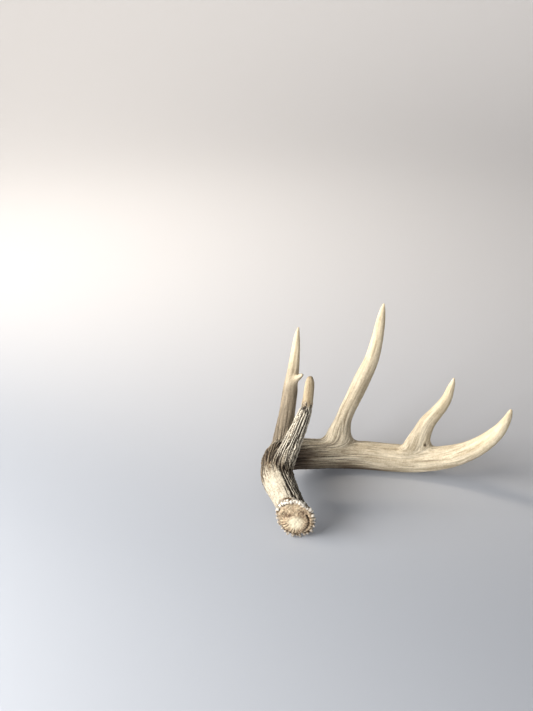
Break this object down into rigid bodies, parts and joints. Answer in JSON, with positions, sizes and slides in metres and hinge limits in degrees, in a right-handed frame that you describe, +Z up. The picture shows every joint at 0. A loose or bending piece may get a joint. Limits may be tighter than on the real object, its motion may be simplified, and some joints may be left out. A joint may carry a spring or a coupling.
{
  "type": "deer antler",
  "caption": "Shed white-tailed deer antler with a beaded burr, a curving main beam and upright tines, lying on its side.",
  "frame": {"origin": "middle of the footprint's bounding box, on the surface that the antler rests on", "axes": "+X from the burr's side towards the main beam's tip, +Y from the burr towards the back of the bend, +Z up through the tines"},
  "size_m": [0.3078, 0.2483, 0.2094],
  "materials": {
    "antler": null
  },
  "bodies": {
    "root": {"main_beam": "antler", "brow_tine": "antler", "second_tine": "antler", "third_tine": "antler", "fourth_tine": "antler"}
  },
  "joints": []
}
